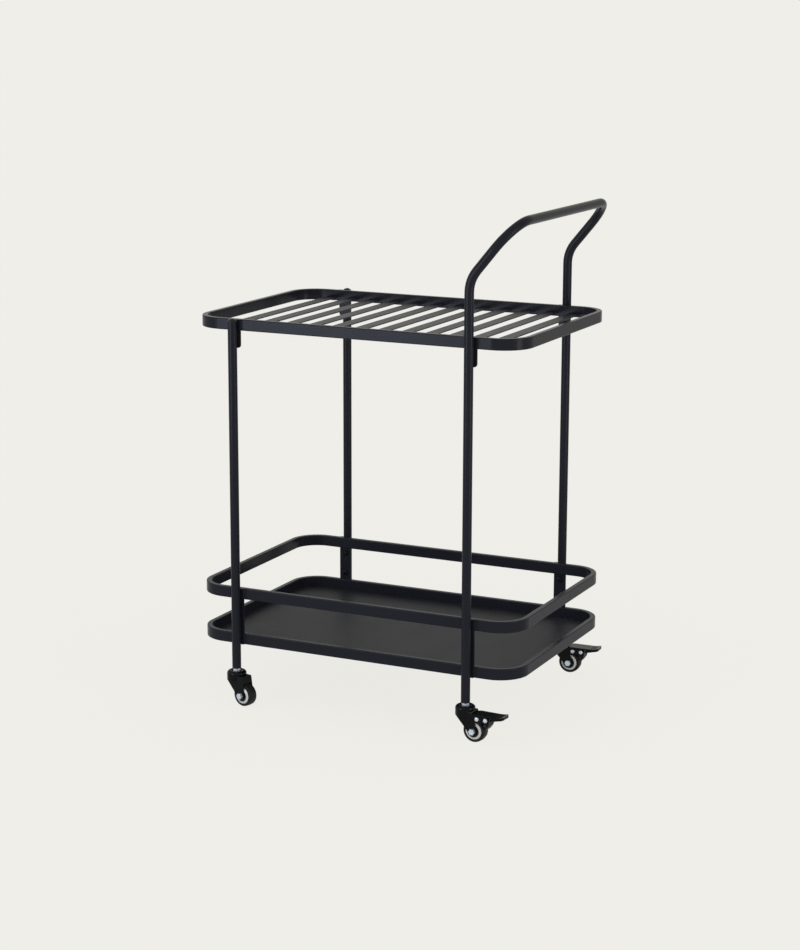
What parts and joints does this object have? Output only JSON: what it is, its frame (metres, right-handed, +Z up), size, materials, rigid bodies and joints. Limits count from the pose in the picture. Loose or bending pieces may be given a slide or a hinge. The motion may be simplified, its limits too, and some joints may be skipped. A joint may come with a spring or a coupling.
{
  "type": "bar cart",
  "caption": "Rolling bar cart: slatted top shelf and railed lower tray in a black round-tube frame with a raised push handle, on swivel casters with foot brakes.",
  "frame": {"origin": "on the floor below the middle of the shelves", "axes": "+X along the long side towards the push handle, +Y from front to back, +Z up"},
  "size_m": [0.642, 0.4977, 0.9182],
  "materials": {
    "powder_coat_black": "satin black powder coat",
    "zinc_steel": "bright zinc plate",
    "black_steel": "black oxide, lightly oiled",
    "plastic_black": "moulded, satin",
    "caster_black": "glossy black e-coat",
    "tyre_black": "matt",
    "core_grey": "moulded, satin"
  },
  "bodies": {
    "cart_frame": {"top_rim": "powder_coat_black", "guard_rail": "powder_coat_black", "tray_rim": "powder_coat_black", "leg_front_left": "powder_coat_black", "leg_back_left": "powder_coat_black", "handle_frame": "powder_coat_black", "top_slats": "powder_coat_black", "tray_sheet": "powder_coat_black", "top_brackets": "powder_coat_black", "basket_posts": "powder_coat_black", "frame_bolts": "black_steel", "lock_washers": "black_steel", "rivet_nuts": "zinc_steel", "caster_stems": "zinc_steel", "stem_nuts": "zinc_steel", "swivel_washers": "zinc_steel", "leg_caps": "plastic_black", "leg_inserts": "plastic_black", "swivel_caps": "caster_black"},
    "swivel_front_left": {"fork_front_left": "caster_black", "swivel_balls_front_left": "zinc_steel", "axle_bolt_front_left": "zinc_steel", "axle_nut_front_left": "zinc_steel"},
    "wheel_front_left": {"tyre_front_left": "tyre_black", "wheel_core_front_left": "core_grey", "hub_covers_front_left": "plastic_black", "wheel_bush_front_left": "core_grey"},
    "swivel_back_left": {"fork_back_left": "caster_black", "swivel_balls_back_left": "zinc_steel", "axle_bolt_back_left": "zinc_steel", "axle_nut_back_left": "zinc_steel"},
    "wheel_back_left": {"tyre_back_left": "tyre_black", "wheel_core_back_left": "core_grey", "hub_covers_back_left": "plastic_black", "wheel_bush_back_left": "core_grey"},
    "swivel_front_right": {"fork_front_right": "caster_black", "swivel_balls_front_right": "zinc_steel", "axle_bolt_front_right": "zinc_steel", "axle_nut_front_right": "zinc_steel", "brake_pins_front_right": "zinc_steel"},
    "wheel_front_right": {"tyre_front_right": "tyre_black", "wheel_core_front_right": "core_grey", "hub_covers_front_right": "plastic_black", "wheel_bush_front_right": "core_grey"},
    "brake_front_right": {"brake_lever_front_right": "caster_black", "brake_shoe_front_right": "plastic_black"},
    "swivel_back_right": {"fork_back_right": "caster_black", "swivel_balls_back_right": "zinc_steel", "axle_bolt_back_right": "zinc_steel", "axle_nut_back_right": "zinc_steel", "brake_pins_back_right": "zinc_steel"},
    "wheel_back_right": {"tyre_back_right": "tyre_black", "wheel_core_back_right": "core_grey", "hub_covers_back_right": "plastic_black", "wheel_bush_back_right": "core_grey"},
    "brake_back_right": {"brake_lever_back_right": "caster_black", "brake_shoe_back_right": "plastic_black"}
  },
  "joints": [
    {"name": "front_left_swivel", "type": "hinge", "parent": "cart_frame", "child": "swivel_front_left", "pos_m": [-0.23, -0.2253, 0.056], "axis": [0, 0, 1], "continuous": true},
    {"name": "front_left_roll", "type": "hinge", "parent": "swivel_front_left", "child": "wheel_front_left", "pos_m": [-0.20962, -0.23038, 0.021], "axis": [0.2419, 0.9703, 0], "continuous": true},
    {"name": "back_left_swivel", "type": "hinge", "parent": "cart_frame", "child": "swivel_back_left", "pos_m": [-0.23, 0.2253, 0.056], "axis": [0, 0, 1], "continuous": true},
    {"name": "back_left_roll", "type": "hinge", "parent": "swivel_back_left", "child": "wheel_back_left", "pos_m": [-0.20962, 0.23038, 0.021], "axis": [-0.2419, 0.9703, 0], "continuous": true},
    {"name": "front_right_swivel", "type": "hinge", "parent": "cart_frame", "child": "swivel_front_right", "pos_m": [0.23, -0.2253, 0.056], "axis": [0, 0, 1], "continuous": true},
    {"name": "front_right_roll", "type": "hinge", "parent": "swivel_front_right", "child": "wheel_front_right", "pos_m": [0.25095, -0.22676, 0.021], "axis": [0.0698, 0.9976, 0], "continuous": true},
    {"name": "front_right_brake", "type": "hinge", "parent": "swivel_front_right", "child": "brake_front_right", "pos_m": [0.27589, -0.22851, 0.045], "axis": [0.0698, 0.9976, 0], "range_deg": [0, 12]},
    {"name": "back_right_swivel", "type": "hinge", "parent": "cart_frame", "child": "swivel_back_right", "pos_m": [0.23, 0.2253, 0.056], "axis": [0, 0, 1], "continuous": true},
    {"name": "back_right_roll", "type": "hinge", "parent": "swivel_back_right", "child": "wheel_back_right", "pos_m": [0.25099, 0.22603, 0.021], "axis": [-0.0349, 0.9994, 0], "continuous": true},
    {"name": "back_right_brake", "type": "hinge", "parent": "swivel_back_right", "child": "brake_back_right", "pos_m": [0.27597, 0.22691, 0.045], "axis": [-0.0349, 0.9994, 0], "range_deg": [0, 12]}
  ]
}
